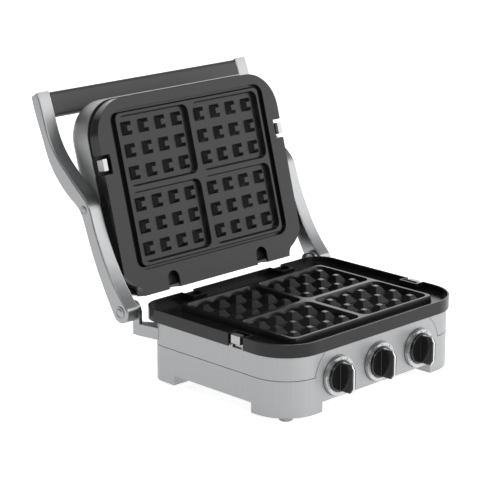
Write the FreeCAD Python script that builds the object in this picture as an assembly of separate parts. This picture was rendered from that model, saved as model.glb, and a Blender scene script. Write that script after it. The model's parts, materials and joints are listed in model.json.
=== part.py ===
import FreeCAD, Part
import math
import os

# Twin-plate waffle maker on a free-standing base, drawn with its lid open.
# Millimetres. +X is to the user's right, -Y is the front with the knobs, +Z is up.
# The origin is on the table, under the middle of the lower waffle field.
# The lid is drawn closed, lying on the base, and is then swung open about its hinge.

os.makedirs("parts", exist_ok=True)
V = FreeCAD.Vector

# ---- overall sizes -------------------------------------------------------------
body_half = 149.0          # half width of the housing
body_depth = 221.0         # front face to rear face of the housing
body_front_radius = 46.0
body_rear_radius = 24.0
plate_top_z = 90.0         # where the two plates meet
seam_z = 47.5              # joint between the lower and the upper housing
belly_z = 16.5             # underside of the housing between its feet
foot_pad_height = 4.7      # rubber showing below each foot block
wall = 2.5                 # housing wall
seam_gap = 0.6             # visible seam between two mouldings
body_gap = 0.4             # clearance between pieces that move apart
running_gap = 0.05         # clearance of a pin in its bore
past = 1.0                 # how far a cutter reaches past the piece it cuts
near = 0.1                 # tolerance when edges are picked by their place

# ---- waffle pattern ------------------------------------------------------------
pitch = 26.5               # from one pyramid to the next
columns = 4                # pyramids across one waffle
rows = 3                   # pyramids along one waffle
divider_width = 6.3        # flat top of the cross between the waffles
pyramid_base = 20.8
pyramid_top = 6.5
pyramid_height = 9.0
pyramid_root = 0.5         # sunk into the floor, so that the two join
pocket_margin = 2.6        # from the outer pyramids to the pocket wall, at the floor
pocket_slope = 2.6         # how far a pocket wall leans out by its top
pocket_radius = 7.0
border_width = 3.2         # flat top of the border around the four waffles
plate_thickness = 4.0

# ---- plates --------------------------------------------------------------------
skirt_overhang = 3.0       # how far the lower plate stands out past the housing's sides
front_overhang = 2.5       # the same past its front
rear_overhang = 14.0       # the same past its rear
skirt_wall = 2.0
skirt_drop = 15.2          # lower edge of the skirt below the plate's top
channel_depth = 8.0        # overflow channel inside the lower plate's rim
rear_corner_radius = 28.0
relief_side = 30.0         # upper plate's stepped rear corner: its length along the side
relief_rear = 26.2         # and along the rear edge
relief_bend = (16.5, 13.5)         # bend between its two curves, in from the side and rear
relief_outer_bow = (7.4, 20.7)     # middle of its outer curve
relief_inner_bow = (23.0, 9.0)     # middle of its inner curve
upper_inset_x = 4.3        # upper plate's sides, in from the lower plate's
upper_inset_y = 4.5        # the same at the front
upper_skirt = 16.5
moat_width_x = 8.0         # groove round the upper plate's waffles
moat_width_y = 4.5
moat_depth = 6.0
block_slope = 3.0          # lean of the raised block's outer wall

# ---- side notches, plate buttons and hooks -------------------------------------
notch_middle_y = -35.0
notch_length = 23.0
notch_depth = 12.5
button_length = 14.0
button_height = 10.5
button_depth = 7.0
button_proud = 0.5         # stands out past the plate's skirt
button_web = 2.5
button_edge = 1.0
web_lap = 1.0              # how far a web reaches into its cap
web_inset = 1.0            # web's sides, in from the cap's
web_drop = 2.0             # web's top, below the cap's
shank_radius = 3.0
shank_length = 14.0
shank_drop = 20.0          # shank's axis below the plate's top
guide_length = 20.0
spring_room = 7.0          # bore left behind the shank for its spring
spring_radius = 2.1
spring_wire_radius = 0.35
spring_turns = 5
hook_x = 74.0
hook_slot_width = 18.0
hook_slot_length = 21.0
hook_thickness = 3.0
hook_side_gap = 0.5        # between a hook and its slot
hook_foot = 1.5            # thickness of a hook's foot on the deck
hook_inset = 1.6           # hook's face, in from the plate's rear edge and top
hook_foot_inset = 3.2      # foot's front end, in from the slot's arch

# ---- lid -----------------------------------------------------------------------
lid_open_angle = 105.0
cover_overhang = 1.8       # how far the cover stands out past the upper plate
cover_height = 37.0        # above the upper plate's skirt
cover_wall = 1.0
cover_edge_radius = 15.0
cover_rear_radius = 38.0
frame_depth = 16.0         # wall of the lid's inner frame

# ---- hinge and arms ------------------------------------------------------------
hinge_behind = 23.5        # hinge, behind the housing's rear
hinge_drop = 8.0           # hinge, below the plates' parting
arm_gap = 0.4              # between the lower plate's skirt and the arms
arm_width = 19.0
arm_edge = 2.0             # bevel along the arm's edges
elbow_behind = 11.6        # elbow, towards the hinge from the middle of the lid
elbow_above = 13.0         # elbow, above the upper plate's waffle floor
arm_reach = 149.6          # from the elbow to the tip
arm_end_radius = 13.0      # round end about the hinge
hinge_pin_radius = 5.0
elbow_pin_radius = 3.5
pin_depth = 16.0           # how far a pin goes into its arm
arm_cap_radius = 7.3
elbow_cap_radius = 5.0
cap_height = 1.2
cap_recess = 1.0
cap_edge = 0.8
pin_collar = 2.0           # elbow pin's collar, past the pin all round
pivot_boss = 10.0          # block inside the lid frame for an elbow pin: its length
pivot_boss_y = 8.0         # and half its size along the lid and across it
pivot_boss_z = 6.0
grip_tall = 30.0
grip_thick = 13.0
grip_corner = 4.5
grip_inset = 0.5           # grip's edge, in from the arm's tip
grip_rod_radius = 3.0
grip_rod_depth = 10.0      # how far the tie rod goes into each arm
bracket_thickness = 5.0
bracket_gap = 0.5          # washer space between a bracket and its arm
bracket_radius = 10.0
bracket_leg = 11.0
bracket_toe_side = 4.0     # bracket's foot where it meets the housing, in from its side
bracket_toe_rear = 8.0     # and in from its rear
bracket_foot_rise = 4.5    # bracket's foot, above the housing's seam
bracket_foot_height = 14.5
boss_radius = 6.0
boss_length = 6.0
release_radius = 8.5
release_length = 9.5
release_travel = 2.5

# ---- control panel -------------------------------------------------------------
knob_spacing = 68.0
knob_z = 42.0
panel_inset = 45.0         # panel's hump at the seam, in from the housing's side
panel_lean = 22.0          # how far the hump's edge comes in by the plate's skirt
panel_bulge = 5.5          # how far the hump's edge has come in by mid height
bezel_radius = 22.7
bezel_proud = 5.0
bezel_bore = 18.5
bezel_edge = 0.8
tick_count = 24
tick_radial = 1.8
tick_width = 0.5
tick_proud = 0.3
knob_radius = 18.0
knob_disc = 7.0            # thickness of the knob's disc
knob_edge = 1.2
blade_length = 33.0
blade_tip_length = 27.0
blade_width = 6.0
blade_height = 17.5
blade_bevel_y = 4.0        # bevel at the blade's two ends: its depth
blade_bevel_z = 3.0        # and its height, past the tip
blade_edge = 1.0
inlay_width = 1.8
inlay_depth = 1.2
inlay_proud = 0.3
spindle_radius = 3.0
spindle_length = 22.0
spindle_socket = 2.0       # how far the knob takes in its spindle past its face
switch_radius = 15.0
switch_depth = 20.0
switch_ear = 4.0           # fixing plate, past the switch at each side
switch_plate = 1.5
spindle_gap = 1.0          # clearance of a spindle in the panel

# ---- inside --------------------------------------------------------------------
element_radius = 3.5
element_inset = 20.0       # element's middle line, in from the deck's opening
element_bend = 22.0
element_tail = 26.0        # distance between the element's two ends
deck_inset_x = 43.7        # opening in the deck, in from the upper plate's sides
deck_inset_y = 30.5        # the same at the front and rear
deck_radius = 20.0
reflector_wall = 0.8
reflector_depth = 9.0
reflector_rim = 6.0
disc_radius = 8.0          # thermostat disc on a reflector
disc_height = 6.0
tray_half = 58.0
tray_length = 90.0
tray_height = 17.0
tray_wall = 1.5
tray_face = 2.5            # thickness of the tray's face
tray_face_lap = 4.0        # how far the face covers the housing round its opening
tray_gap = 1.0             # clearance of the tray in that opening
tray_pull_half = 20.0
tray_pull_reach = 8.0
tray_pull_thickness = 3.0
screw_radius = 2.0
screw_head_radius = 4.0
screw_head = 2.0
screw_length = 9.0

# ---- underside -----------------------------------------------------------------
foot_pad_radius = 8.0
foot_recess = 1.2
foot_chamfer = 1.0
foot_block = 57.0          # foot block's length along the front and rear
foot_block_front = 54.0    # front foot block's length along the side
foot_block_rear = 43.0     # rear foot block's length along the side
foot_inset_front = 20.0    # rubber foot, in from the housing's front and side
foot_inset_rear = 20.0
hatch_half_x = 80.0        # hatch in the housing's floor
hatch_front = -60.0
hatch_rear = 15.0
hatch_lap = 11.0
cover_sheet = 1.2
vent_count = 9
vent_pitch = 14.0
vent_width = 4.0
vent_inset = 15.0          # vents' ends, in from the hatch's
gland_inset = 54.0         # gland, in from the housing's left side
gland_z = 34.0
gland_radius = 7.0
gland_collar = 10.0
gland_bore = 3.6
gland_proud = 5.0
gland_nut = 4.0

# ---- values worked out from the sizes above ------------------------------------
body_front = body_depth / 2
body_rear = body_depth / 2
panel_face_y = -body_front
plate_half = body_half + skirt_overhang
plate_front = body_front + front_overhang
plate_rear = body_rear + rear_overhang
upper_half = plate_half - upper_inset_x
upper_front = plate_front - upper_inset_y
cover_half = upper_half + cover_overhang
deck_half_x = upper_half - deck_inset_x
deck_half_y = upper_front - deck_inset_y
element_half_x = deck_half_x - element_inset
element_half_y = deck_half_y - element_inset
cover_front = upper_front + cover_overhang
hinge_y = body_rear + hinge_behind
hinge_z = plate_top_z - hinge_drop
arm_inner = plate_half + arm_gap
panel_half = body_half - panel_inset
panel_crown = panel_half - panel_lean
foot_inner_x = body_half - foot_block
foot_front_end = foot_block_front - body_front
foot_rear_start = body_rear - foot_block_rear
gland_x = gland_inset - body_half
bracket_foot_z = seam_z + bracket_foot_rise
skirt_bottom = plate_top_z - skirt_drop
channel_z = plate_top_z - channel_depth
floor_z = plate_top_z - pyramid_height
under_z = channel_z - plate_thickness
cell_half_x = (columns - 1) * pitch / 2 + pyramid_base / 2 + pocket_margin
cell_half_y = (rows - 1) * pitch / 2 + pyramid_base / 2 + pocket_margin
field_x = cell_half_x + pocket_slope + divider_width / 2
field_y = cell_half_y + pocket_slope + divider_width / 2
block_x = field_x + cell_half_x + pocket_slope + border_width
block_y = field_y + cell_half_y + pocket_slope + border_width
upper_face_z = plate_top_z + body_gap
upper_floor_z = upper_face_z + pyramid_height
upper_skirt_top = upper_face_z + upper_skirt
elbow_y = elbow_behind
elbow_z = upper_floor_z + elbow_above
cover_bottom = upper_skirt_top + seam_gap
cover_top = cover_bottom + cover_height
housing_top = under_z - body_gap
arm_outer = arm_inner + arm_width
arm_length = math.hypot(hinge_y - elbow_y, elbow_z - hinge_z)
arm_angle = math.atan2(elbow_z - hinge_z, elbow_y - hinge_y)
knob_back_y = panel_face_y - body_gap
knob_face_y = knob_back_y - knob_disc
bracket_outer = arm_inner - bracket_gap
bracket_inner = bracket_outer - bracket_thickness
shank_z = plate_top_z - shank_drop
house_floor = belly_z + wall
tray_floor_z = house_floor + body_gap
sides = {"left": -1, "right": 1}
knob_places = {"left": -knob_spacing, "centre": 0.0, "right": knob_spacing}


# ---- drawing helpers -----------------------------------------------------------
def box(x0, x1, y0, y1, z0, z1):
    return Part.makeBox(x1 - x0, y1 - y0, z1 - z0, V(x0, y0, z0))


def rod(start, direction, radius, length):
    return Part.makeCylinder(radius, length, start, direction)


def mirror_x(shape):
    return shape.mirror(V(0, 0, 0), V(1, 0, 0))


def on_side(shape, side):
    """A piece drawn for the right side, moved to the side asked for."""
    return shape if side > 0 else mirror_x(shape)


def corner_arc(x, y, radius, start, z):
    """Three points of a quarter circle that rounds the corner at x, y."""
    cx = x - math.copysign(radius, x)
    cy = y - math.copysign(radius, y)
    angles = [math.radians(start + turn) for turn in (0, 45, 90)]
    return [V(cx + radius * math.cos(a), cy + radius * math.sin(a), z) for a in angles]


def stepped_corner(half, rear, z):
    """The upper plate's right rear corner: an outer curve, then a hollow one."""
    def inside(from_side, from_rear):
        return V(half - from_side, rear - from_rear, z)
    bend = inside(*relief_bend)
    outer = [inside(0, relief_side), inside(*relief_outer_bow), bend]
    inner = [bend, inside(*relief_inner_bow), inside(relief_rear, 0)]
    return [outer, inner]


def outline(half, front, rear, front_radius, rear_radius, z):
    """A closed wire: a rectangle with round corners. No rear radius means stepped rear corners."""
    if rear_radius > 0:
        rear_arcs = [corner_arc(half, rear, rear_radius, 0, z),
                     corner_arc(-half, rear, rear_radius, 90, z)]
    else:
        right = stepped_corner(half, rear, z)
        left = [[V(-point.x, point.y, z) for point in reversed(arc)] for arc in reversed(right)]
        rear_arcs = right + left
    arcs = [corner_arc(half, -front, front_radius, -90, z)] + rear_arcs
    arcs.append(corner_arc(-half, -front, front_radius, 180, z))
    edges = []
    for i, points in enumerate(arcs):
        edges.append(Part.Arc(*points).toShape())
        following = arcs[(i + 1) % len(arcs)]
        if points[2].distanceToPoint(following[0]) > near:
            edges.append(Part.LineSegment(points[2], following[0]).toShape())
    return Part.Wire(edges)


def slab(half, front, rear, front_radius, rear_radius, z0, z1):
    wire = outline(half, front, rear, front_radius, rear_radius, z0)
    return Part.Face(wire).extrude(V(0, 0, z1 - z0))


def tapered(half_x, half_y, radius, z0, z1, lean, centre=(0, 0)):
    """A block with round corners whose wall leans out by lean from z0 to z1."""
    low = outline(half_x, half_y, half_y, radius, radius, z0)
    grown = radius + lean
    high = outline(half_x + lean, half_y + lean, half_y + lean, grown, grown, z1)
    block = Part.makeLoft([low, high], True)
    return block.translate(V(centre[0], centre[1], 0))


def ring_slab(sizes, thickness, z0, z1):
    half, front, rear, front_radius, rear_radius = sizes
    inner = [value - thickness for value in sizes]
    return slab(*sizes, z0, z1).cut(slab(*inner, z0 - past, z1 + past))


def along_x(radius, x0, x1, y, z):
    return rod(V(x0, y, z), V(1, 0, 0), radius, x1 - x0)


def extrude_yz(points, x0, x1):
    wire = Part.makePolygon([V(x0, y, z) for y, z in points] + [V(x0, *points[0])])
    return Part.Face(wire).extrude(V(x1 - x0, 0, 0))


def opened(shape):
    """Swing a lid piece from its closed place to the open rest pose."""
    moved = shape.copy()
    moved.rotate(V(0, hinge_y, hinge_z), V(1, 0, 0), -lid_open_angle)
    return moved


def turned(shape):
    """A piece drawn for the base, turned upside down onto the closed lid."""
    return shape.mirror(V(0, 0, plate_top_z + body_gap / 2), V(0, 0, 1))


def save(name, shape):
    if isinstance(shape, list):
        shape = Part.makeCompound(shape)
    shape.exportStep("parts/" + name + ".step")


# ---- waffle pattern ------------------------------------------------------------
def pyramid(x, y):
    base = pyramid_base / 2
    top = pyramid_top / 2
    wires = []
    for half, z in ((base, floor_z - pyramid_root), (base, floor_z), (top, plate_top_z)):
        corners = [V(x - half, y - half, z), V(x + half, y - half, z)]
        corners += [V(x + half, y + half, z), V(x - half, y + half, z)]
        wires.append(Part.makePolygon(corners + corners[:1]))
    foot = Part.Face(wires[0]).extrude(V(0, 0, pyramid_root))
    return foot.fuse(Part.makeLoft(wires[1:], True))


def waffle_block():
    """The raised block with its four pockets and their pyramids, top at plate_top_z."""
    block = tapered(block_x + block_slope, block_y + block_slope, pocket_radius + block_slope,
                    under_z, plate_top_z, -block_slope)
    pockets = []
    pyramids = []
    for sx in (-1, 1):
        for sy in (-1, 1):
            centre = (sx * field_x, sy * field_y)
            pockets.append(tapered(cell_half_x, cell_half_y, pocket_radius,
                                   floor_z, plate_top_z, pocket_slope, centre))
            for column in range(columns):
                for row in range(rows):
                    x = centre[0] + (column - (columns - 1) / 2) * pitch
                    y = centre[1] + (row - (rows - 1) / 2) * pitch
                    pyramids.append(pyramid(x, y))
    return block.cut(pockets).fuse(pyramids)


def side_notches(half, top_z, bottom_z):
    """Cutters for the notches in a plate's sides, where the plate buttons sit."""
    cutters = []
    for side in sides.values():
        inner = half - notch_depth
        cutter = box(inner, half + past, notch_middle_y - notch_length / 2,
                     notch_middle_y + notch_length / 2, bottom_z, top_z)
        cutters.append(on_side(cutter, side))
    return cutters


def hook_slots(rear, bottom_z, top_z):
    """Arched slots in a plate's rear edge, where the hooks reach in."""
    cutters = []
    radius = hook_slot_width / 2
    arch_y = rear - hook_slot_length + radius
    for side in sides.values():
        x = side * hook_x
        straight = box(x - radius, x + radius, arch_y, rear + past, bottom_z, top_z)
        arch = rod(V(x, arch_y, bottom_z), V(0, 0, 1), radius, top_z - bottom_z)
        cutters.append(straight.fuse(arch))
    return cutters


def opening_walls(wide, rear):
    """Walls in the channel round the notches and slots, so that no batter runs out of them."""
    walls = []
    for side in sides.values():
        half = notch_length / 2 + skirt_wall
        notch = box(wide - notch_depth - skirt_wall, wide - skirt_wall / 2,
                    notch_middle_y - half, notch_middle_y + half, under_z, plate_top_z)
        half = hook_slot_width / 2 + skirt_wall
        slot = box(hook_x - half, hook_x + half, rear - hook_slot_length - skirt_wall,
                   rear - skirt_wall / 2, under_z, plate_top_z)
        walls += [on_side(notch, side), on_side(slot, side)]
    return walls


def make_lower_plate():
    outer = (plate_half, plate_front, plate_rear,
             body_front_radius + skirt_overhang, rear_corner_radius)
    skirt = ring_slab(outer, skirt_wall, skirt_bottom, plate_top_z)
    inner = [value - skirt_wall / 2 for value in outer]
    floor = slab(*inner, under_z, channel_z)
    plate = skirt.fuse([floor, waffle_block()] + opening_walls(plate_half, plate_rear))
    cutters = side_notches(plate_half, plate_top_z + past, skirt_bottom - past)
    cutters += hook_slots(plate_rear, skirt_bottom - past, plate_top_z + past)
    return plate.cut(cutters).removeSplitter()


def make_upper_plate():
    """Drawn top side up like the lower plate, then turned over onto it."""
    outer = (upper_half, upper_front, plate_rear, body_front_radius, 0)
    plate = slab(*outer, plate_top_z - upper_skirt, plate_top_z)
    inner = [value - skirt_wall for value in outer]
    plate = plate.cut(slab(*inner, plate_top_z - upper_skirt - past, plate_top_z - plate_thickness))
    half_x = block_x + moat_width_x
    half_y = block_y + moat_width_y
    moat_floor = plate_top_z - moat_depth
    tub = slab(half_x + skirt_wall, half_y + skirt_wall, half_y + skirt_wall,
               pocket_radius * 2, pocket_radius * 2, under_z, plate_top_z)
    moat = slab(half_x, half_y, half_y, pocket_radius * 2, pocket_radius * 2,
                moat_floor, plate_top_z + past)
    plate = plate.fuse(tub).cut(moat).fuse(waffle_block())
    cutters = side_notches(upper_half, plate_top_z + past, plate_top_z - upper_skirt - past)
    cutters += hook_slots(plate_rear, plate_top_z - upper_skirt - past, plate_top_z + past)
    plate = plate.cut(cutters).removeSplitter()
    return turned(plate)


# ---- base housing --------------------------------------------------------------
body_sizes = (body_half, body_front, body_rear, body_front_radius, body_rear_radius)
body_inner = [value - wall for value in body_sizes]


def panel_block(grow, y0, y1):
    """The hump that carries the knobs, rising from the seam to the plate's skirt."""
    low = seam_z - seam_gap
    high = housing_top
    left = [V(-panel_half - grow, y0, low),
            V(-panel_half + panel_bulge - grow, y0, (low + skirt_bottom) / 2),
            V(-panel_crown - grow, y0, high)]
    right = [V(-point.x, y0, point.z) for point in reversed(left)]
    edges = [
        Part.Arc(*left).toShape(),
        Part.LineSegment(left[2], right[0]).toShape(),
        Part.Arc(*right).toShape(),
        Part.LineSegment(right[2], left[0]).toShape(),
    ]
    return Part.Face(Part.Wire(edges)).extrude(V(0, y1 - y0, 0))


def foot_centres():
    x = body_half - foot_inset_front
    front = -body_front + foot_inset_front
    rear = body_rear - foot_inset_rear
    return [(side * x, y) for side in sides.values() for y in (front, rear)]


def bottom_screw_places():
    x = hatch_half_x + hatch_lap / 2
    ends = (hatch_front + hatch_lap, hatch_rear - hatch_lap)
    return [(side * x, y) for side in sides.values() for y in ends]


def foot_pockets():
    """Hollows inside the four foot blocks, open to the room above."""
    hollow = slab(*body_inner, foot_pad_height + wall, house_floor + past)
    spans = ((-body_front, foot_front_end - wall), (foot_rear_start + wall, body_rear))
    pockets = []
    for side in sides.values():
        for y0, y1 in spans:
            room = box(foot_inner_x + wall, body_half, y0, y1, 0, seam_z)
            pockets.append(hollow.common(on_side(room, side)))
    return pockets


def make_lower_housing():
    shell = slab(*body_sizes, foot_pad_height, seam_z - seam_gap)
    under_front = box(-foot_inner_x, foot_inner_x, -body_front - past, body_rear + past, 0, belly_z)
    under_side = box(-body_half - past, body_half + past, foot_front_end, foot_rear_start, 0, belly_z)
    shell = shell.cut([under_front, under_side])
    shell = shell.cut([slab(*body_inner, house_floor, seam_z + past)] + foot_pockets())
    shell = shell.fuse(panel_block(0, panel_face_y, panel_face_y + wall))
    cutters = [box(-hatch_half_x, hatch_half_x, hatch_front, hatch_rear,
                   belly_z - past, house_floor + past)]
    cutters.append(box(-tray_half - tray_gap, tray_half + tray_gap, body_rear - wall - past,
                       body_rear + past, house_floor, tray_floor_z + tray_height + tray_gap))
    for x in knob_places.values():
        cutters.append(rod(V(x, panel_face_y - past, knob_z), V(0, 1, 0),
                           spindle_radius + spindle_gap, wall + 2 * past))
    for x, y in foot_centres():
        cutters.append(rod(V(x, y, 0), V(0, 0, 1), foot_pad_radius, foot_pad_height + foot_recess))
    for x, y in bottom_screw_places():
        cutters.append(rod(V(x, y, 0), V(0, 0, 1), screw_radius, house_floor + past))
    cutters.append(rod(V(gland_x, body_rear - wall - past, gland_z), V(0, 1, 0),
                       gland_radius, wall + 2 * past))
    return shell.cut(cutters).removeSplitter()


def deck(sizes):
    """The deck under a plate, open where the heating element lies."""
    plate = slab(*sizes, housing_top - wall, housing_top)
    opening = slab(deck_half_x, deck_half_y, deck_half_y, deck_radius, deck_radius,
                   housing_top - wall - past, housing_top + past)
    return plate.cut(opening)


def button_guide(outer):
    """A block behind a notch, with a blind bore for the button's shank."""
    start = outer - notch_depth - body_gap
    block = box(start - guide_length, start, notch_middle_y - shank_radius - wall,
                notch_middle_y + shank_radius + wall, shank_z - shank_radius - wall, housing_top - wall)
    bore = along_x(shank_radius + running_gap, bore_end(outer), start + past, notch_middle_y, shank_z)
    return block.cut(bore)


def shank_start(outer):
    """Inner face of the button's web."""
    return outer + button_proud - button_depth - button_web + web_lap


def bore_end(outer):
    return shank_start(outer) - shank_length - spring_room


def web_slot(outer):
    """Clearance in a deck for the web that joins a button to its shank."""
    half = button_length / 2 + body_gap
    return box(outer - notch_depth, outer - skirt_wall - body_gap,
               notch_middle_y - half, notch_middle_y + half, housing_top - wall - past, housing_top + past)


def add_guides(frame, outer):
    slots = [on_side(web_slot(outer), side) for side in sides.values()]
    guides = [on_side(button_guide(outer), side) for side in sides.values()]
    return frame.cut(slots).fuse(guides)


def make_upper_housing():
    housing = ring_slab(body_sizes, wall, seam_z, housing_top).fuse(deck(body_inner))
    housing = housing.cut(panel_block(seam_gap, panel_face_y - past, panel_face_y + wall + past))
    return add_guides(housing, plate_half).removeSplitter()


# ---- feet, cover, screws and gland ---------------------------------------------
def make_rubber_feet():
    feet = []
    for x, y in foot_centres():
        pad = rod(V(x, y, 0), V(0, 0, 1), foot_pad_radius - body_gap / 2, foot_pad_height + foot_recess)
        lower_edge = [edge for edge in pad.Edges if edge.BoundBox.ZMax < near]
        feet.append(pad.makeChamfer(foot_chamfer, lower_edge))
    return feet


def make_bottom_cover():
    lap = hatch_lap
    sheet = box(-hatch_half_x - lap, hatch_half_x + lap, hatch_front - lap, hatch_rear + lap,
                belly_z - cover_sheet, belly_z)
    cutters = []
    for x, y in bottom_screw_places():
        cutters.append(rod(V(x, y, 0), V(0, 0, 1), screw_radius, belly_z + past))
    for i in range(vent_count):
        x = (i - (vent_count - 1) / 2) * vent_pitch
        cutters.append(box(x - vent_width / 2, x + vent_width / 2, hatch_front + vent_inset,
                           hatch_rear - vent_inset, 0, belly_z + past))
    return sheet.cut(cutters)


def make_bottom_screws():
    screws = []
    for x, y in bottom_screw_places():
        base = belly_z - cover_sheet
        head = rod(V(x, y, base - screw_head), V(0, 0, 1), screw_head_radius, screw_head)
        shank = rod(V(x, y, base), V(0, 0, 1), screw_radius, screw_length)
        screws.append(head.fuse(shank))
    return screws


def make_cord_gland():
    body = rod(V(gland_x, body_rear - wall, gland_z), V(0, 1, 0), gland_radius, wall)
    collar = rod(V(gland_x, body_rear, gland_z), V(0, 1, 0), gland_collar, gland_proud)
    nut_y = body_rear - wall - gland_nut
    nut = rod(V(gland_x, nut_y, gland_z), V(0, 1, 0), gland_collar, gland_nut)
    bore = rod(V(gland_x, nut_y - past, gland_z), V(0, 1, 0), gland_bore,
               gland_nut + wall + gland_proud + 2 * past)
    return body.fuse([collar, nut]).cut(bore).removeSplitter()


# ---- heating parts, the same in the base and in the lid ------------------------
element_z = under_z - body_gap - element_radius


def make_element():
    """A tubular heating element bent into a loop, with both ends turned to the rear."""
    x = element_half_x
    y = element_half_y
    tail = element_tail / 2
    corners = [corner_arc(-x, y, element_bend, 90, element_z),
               corner_arc(-x, -y, element_bend, 180, element_z),
               corner_arc(x, -y, element_bend, 270, element_z),
               corner_arc(x, y, element_bend, 0, element_z)]
    runs = []
    place = V(-tail, y, element_z)
    for points in corners:
        runs.append(Part.LineSegment(place, points[0]).toShape())
        runs.append(Part.Arc(*points).toShape())
        place = points[2]
    runs.append(Part.LineSegment(place, V(tail, y, element_z)).toShape())
    section = Part.Wire(Part.makeCircle(element_radius, V(-tail, y, element_z), V(1, 0, 0)))
    return Part.Wire(runs).makePipeShell([section], True, False)


def make_reflector():
    """A shallow bright pan under the element, its rim seated on the deck's underside."""
    top = housing_top - wall
    x = deck_half_x
    y = deck_half_y
    pan = slab(x, y, y, deck_radius, deck_radius, top - reflector_depth, top)
    inner = [value - reflector_wall for value in (x, y, y, deck_radius, deck_radius)]
    pan = pan.cut(slab(*inner, top - reflector_depth + reflector_wall, top + past))
    rim_sizes = (x + reflector_rim, y + reflector_rim, y + reflector_rim, deck_radius, deck_radius)
    rim = slab(*rim_sizes, top - reflector_wall, top)
    rim = rim.cut(slab(*inner, top - reflector_wall - past, top + past))
    return pan.fuse(rim).removeSplitter()


def make_reflector_thermostat():
    top = housing_top - wall - reflector_depth
    return rod(V(0, 0, top - disc_height), V(0, 0, 1), disc_radius, disc_height)


# ---- plate buttons, springs and hooks ------------------------------------------
def make_button(outer):
    """A push button for the right side: a cap in the notch, a web and a shank."""
    x1 = outer + button_proud
    x0 = x1 - button_depth
    half = button_length / 2
    cap = box(x0, x1, notch_middle_y - half, notch_middle_y + half,
              plate_top_z - button_height, plate_top_z)
    rounded = [edge for edge in cap.Edges if edge.BoundBox.XMin > x1 - near]
    cap = cap.makeFillet(button_edge, rounded)
    web_x = shank_start(outer)
    half -= web_inset
    web = box(web_x, web_x + button_web, notch_middle_y - half, notch_middle_y + half,
              shank_z - shank_radius, plate_top_z - web_drop)
    shank = along_x(shank_radius, web_x - shank_length, web_x + web_lap, notch_middle_y, shank_z)
    return cap.fuse([web, shank]).removeSplitter()


def make_spring(outer):
    """The coil spring between the end of a shank and the end of its bore."""
    start = bore_end(outer) + 2 * body_gap
    length = spring_room - 4 * body_gap
    helix = Part.makeHelix(length / spring_turns, length, spring_radius)
    section = Part.Wire(Part.makeCircle(spring_wire_radius, V(spring_radius, 0, 0), V(0, 1, 0)))
    coil = Part.Wire(helix).makePipeShell([section], True, True)
    coil.rotate(V(0, 0, 0), V(0, 1, 0), 90)
    coil.translate(V(start, notch_middle_y, shank_z))
    return coil


def make_hooks(rear):
    """Upright steel hooks that stand on the deck inside a plate's rear slots."""
    hooks = []
    y1 = rear - hook_inset
    y0 = y1 - hook_thickness
    foot_y = rear - hook_slot_length + hook_foot_inset
    for side in sides.values():
        x = side * hook_x
        half = hook_slot_width / 2 - hook_side_gap
        post = box(x - half, x + half, y0, y1, housing_top, plate_top_z - hook_inset)
        foot = box(x - half / 2, x + half / 2, foot_y, y1, housing_top, housing_top + hook_foot)
        hooks.append(post.fuse(foot).removeSplitter())
    return hooks


# ---- knobs and what they turn --------------------------------------------------
def make_bezel(x):
    face_y = panel_face_y - bezel_proud
    ring = rod(V(x, face_y, knob_z), V(0, 1, 0), bezel_radius, bezel_proud)
    front_edge = [edge for edge in ring.Edges if edge.BoundBox.YMax < face_y + near]
    ring = ring.makeFillet(bezel_edge, front_edge)
    ring = ring.cut(rod(V(x, face_y - past, knob_z), V(0, 1, 0), bezel_bore, bezel_proud + 2 * past))
    ticks = []
    middle = (bezel_bore + bezel_radius) / 2
    tick = box(middle - tick_radial / 2, middle + tick_radial / 2,
               face_y - tick_proud, face_y + tick_proud, -tick_width / 2, tick_width / 2)
    for i in range(tick_count):
        mark = tick.copy()
        mark.rotate(V(0, 0, 0), V(0, 1, 0), 360.0 * i / tick_count)
        mark.translate(V(x, 0, knob_z))
        ticks.append(mark)
    return ring.fuse(ticks)


def blade_profile(grow, x0, x1):
    """The knob's grip seen from the side, grown outwards by grow."""
    base = blade_length / 2 + grow
    tip = blade_tip_length / 2 + grow
    front = knob_face_y - blade_height - grow
    shoulder = front + blade_bevel_y
    points = [(knob_face_y + past, -base), (shoulder, -base), (front, -tip + blade_bevel_z),
              (front, tip - blade_bevel_z), (shoulder, base), (knob_face_y + past, base)]
    return extrude_yz(points, x0, x1)


def inlay_strip(grow):
    """A strip along the blade's edge, standing out of it by grow, in front of the disc."""
    strip = blade_profile(grow, -inlay_width / 2, inlay_width / 2)
    strip = strip.cut(blade_profile(-inlay_depth, -inlay_width, inlay_width))
    return strip.common(box(-inlay_width, inlay_width, knob_face_y - 2 * blade_height,
                            knob_face_y - past, -blade_length, blade_length))


def make_knob():
    disc = rod(V(0, knob_face_y, 0), V(0, 1, 0), knob_radius, knob_disc)
    front_edge = [edge for edge in disc.Edges if edge.BoundBox.YMax < knob_face_y + near]
    disc = disc.makeFillet(knob_edge, front_edge)
    blade = blade_profile(0, -blade_width / 2, blade_width / 2)
    blade = blade.makeFillet(blade_edge, blade.Edges)
    bore = rod(V(0, knob_face_y + spindle_socket, 0), V(0, 1, 0), spindle_radius, knob_disc)
    return disc.fuse(blade).cut([inlay_strip(past), bore]).removeSplitter()


def make_spindle():
    return rod(V(0, knob_face_y + spindle_socket, 0), V(0, 1, 0), spindle_radius, spindle_length)


def make_switch(x):
    """A thermostat or switch body behind the panel, bored for its spindle."""
    y0 = panel_face_y + wall
    body = rod(V(x, y0, knob_z), V(0, 1, 0), switch_radius, switch_depth)
    reach = switch_radius + switch_ear
    plate = box(x - reach, x + reach, y0, y0 + switch_plate,
                knob_z - switch_radius, knob_z + switch_radius)
    spindle_end = knob_face_y + spindle_socket + spindle_length
    bore = rod(V(x, y0 - past, knob_z), V(0, 1, 0), spindle_radius + running_gap,
               spindle_end + body_gap - y0 + past)
    return body.fuse(plate).cut(bore).removeSplitter()


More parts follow.
